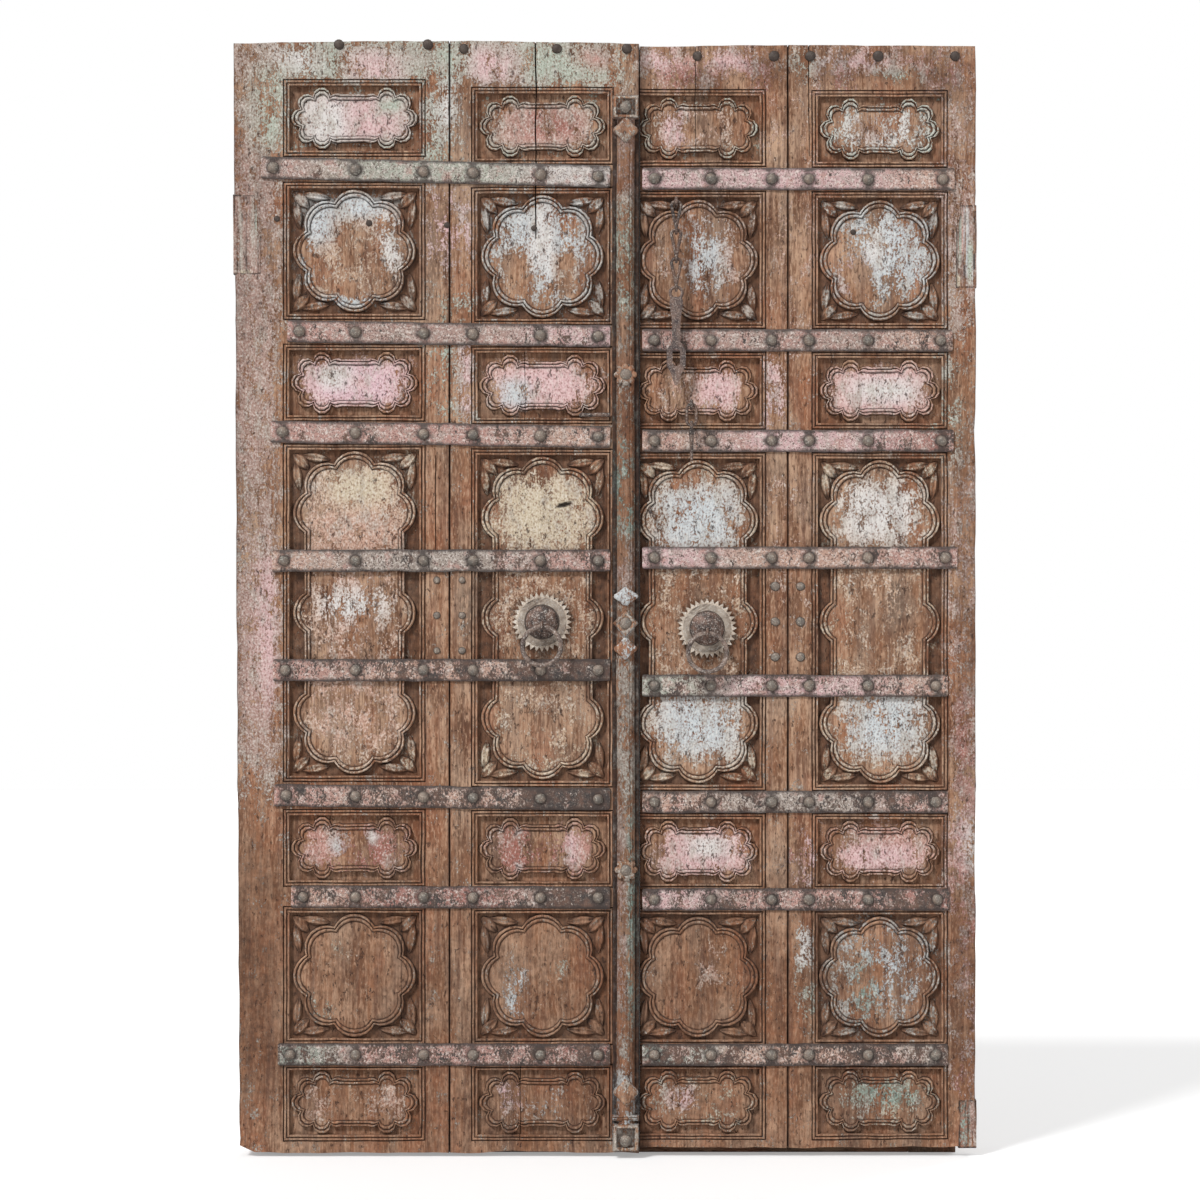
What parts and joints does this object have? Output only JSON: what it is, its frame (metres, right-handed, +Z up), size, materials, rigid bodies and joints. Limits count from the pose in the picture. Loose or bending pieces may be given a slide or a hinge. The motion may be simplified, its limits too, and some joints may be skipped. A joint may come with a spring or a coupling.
{
  "type": "painted double door",
  "caption": "Old double door of carved, painted planks with iron straps, studs, ring pulls and a chain hasp, hung outwards on a plain timber frame.",
  "frame": {"origin": "middle of the sill's underside, on the floor", "axes": "+Z up, -Y towards the viewer in front of the carved leaves, +X to that viewer's right"},
  "size_m": [1.4046, 0.1751, 2.116],
  "materials": {
    "painted_wood": "worn pink and pale paint over brown timber",
    "bare_wood": "dry bare timber",
    "pale_wood": "newer pale timber",
    "painted_iron": "flaking paint over rusted flat iron",
    "plate_iron": "worn pale paint over iron",
    "wrought_iron": "dull forged iron"
  },
  "bodies": {
    "frame": {"frame_left_jamb": "bare_wood", "frame_right_jamb": "bare_wood", "frame_head": "bare_wood", "frame_sill": "bare_wood", "frame_pegs": "pale_wood", "left_pintles": "wrought_iron", "right_pintles": "wrought_iron"},
    "left_leaf": {"left_outer_plank": "painted_wood", "left_meeting_plank": "painted_wood", "left_strap_1": "painted_iron", "left_strap_2": "painted_iron", "left_strap_3": "painted_iron", "left_strap_4": "painted_iron", "left_strap_5": "painted_iron", "left_strap_6": "painted_iron", "left_strap_7": "painted_iron", "left_strap_8": "painted_iron", "left_studs": "wrought_iron", "left_nails": "wrought_iron", "left_ledges": "bare_wood", "left_hinge_straps": "wrought_iron", "left_patch": "pale_wood", "astragal": "painted_wood", "astragal_nails": "wrought_iron", "catch_bar": "wrought_iron", "left_pull_plate": "plate_iron", "left_pull_boss": "plate_iron", "left_pull_staple": "wrought_iron"},
    "right_leaf": {"right_outer_plank": "painted_wood", "right_meeting_plank": "painted_wood", "right_strap_1": "painted_iron", "right_strap_2": "painted_iron", "right_strap_3": "painted_iron", "right_strap_4": "painted_iron", "right_strap_5": "painted_iron", "right_strap_6": "painted_iron", "right_strap_7": "painted_iron", "right_strap_8": "painted_iron", "right_studs": "wrought_iron", "right_nails": "wrought_iron", "right_ledges": "bare_wood", "right_hinge_straps": "wrought_iron", "right_upper_patch": "pale_wood", "right_lower_patch": "pale_wood", "broken_staple": "wrought_iron", "right_pull_plate": "plate_iron", "right_pull_boss": "plate_iron", "right_pull_staple": "wrought_iron", "chain_staple": "wrought_iron", "pin_staple": "wrought_iron"},
    "left_ring": {"left_ring": "wrought_iron"},
    "right_ring": {"right_ring": "wrought_iron"},
    "chain_link_1": {"chain_link_1": "wrought_iron"},
    "chain_link_2": {"chain_link_2": "wrought_iron"},
    "chain_link_3": {"chain_link_3": "wrought_iron"},
    "hasp": {"hasp": "wrought_iron"},
    "pin_link": {"pin_link": "wrought_iron"},
    "locking_pin": {"locking_pin": "wrought_iron"}
  },
  "joints": [
    {"name": "left_leaf_swing", "type": "hinge", "parent": "frame", "child": "left_leaf", "pos_m": [-0.68625, -0.026, 1], "axis": [0, 0, -1], "range_deg": [0, 105]},
    {"name": "right_leaf_swing", "type": "hinge", "parent": "frame", "child": "right_leaf", "pos_m": [0.68625, -0.026, 1], "axis": [0, 0, 1], "range_deg": [0, 105]},
    {"name": "left_ring_swing", "type": "hinge", "parent": "left_leaf", "child": "left_ring", "pos_m": [-0.12175, -0.124, 1.007], "axis": [-1, 0, 0], "range_deg": [0, 100]},
    {"name": "right_ring_swing", "type": "hinge", "parent": "right_leaf", "child": "right_ring", "pos_m": [0.19175, -0.124, 0.995], "axis": [-1, 0, 0], "range_deg": [0, 100]},
    {"name": "chain_link_1_swing", "type": "hinge", "parent": "right_leaf", "child": "chain_link_1", "pos_m": [0.13275, -0.118, 1.812], "axis": [-1, 0, 0], "range_deg": [0, 80]},
    {"name": "chain_link_2_swing", "type": "hinge", "parent": "chain_link_1", "child": "chain_link_2", "pos_m": [0.13275, -0.118, 1.758], "axis": [-1, 0, 0], "range_deg": [0, 25]},
    {"name": "chain_link_3_swing", "type": "hinge", "parent": "chain_link_2", "child": "chain_link_3", "pos_m": [0.13275, -0.118, 1.704], "axis": [-1, 0, 0], "range_deg": [0, 25]},
    {"name": "hasp_swing", "type": "hinge", "parent": "chain_link_3", "child": "hasp", "pos_m": [0.13275, -0.118, 1.65], "axis": [-1, 0, 0], "range_deg": [0, 35]},
    {"name": "pin_link_swing", "type": "hinge", "parent": "right_leaf", "child": "pin_link", "pos_m": [0.16175, -0.118, 1.428], "axis": [-1, 0, 0], "range_deg": [0, 80]},
    {"name": "locking_pin_swing", "type": "hinge", "parent": "pin_link", "child": "locking_pin", "pos_m": [0.16175, -0.118, 1.388], "axis": [-1, 0, 0], "range_deg": [0, 60]}
  ]
}
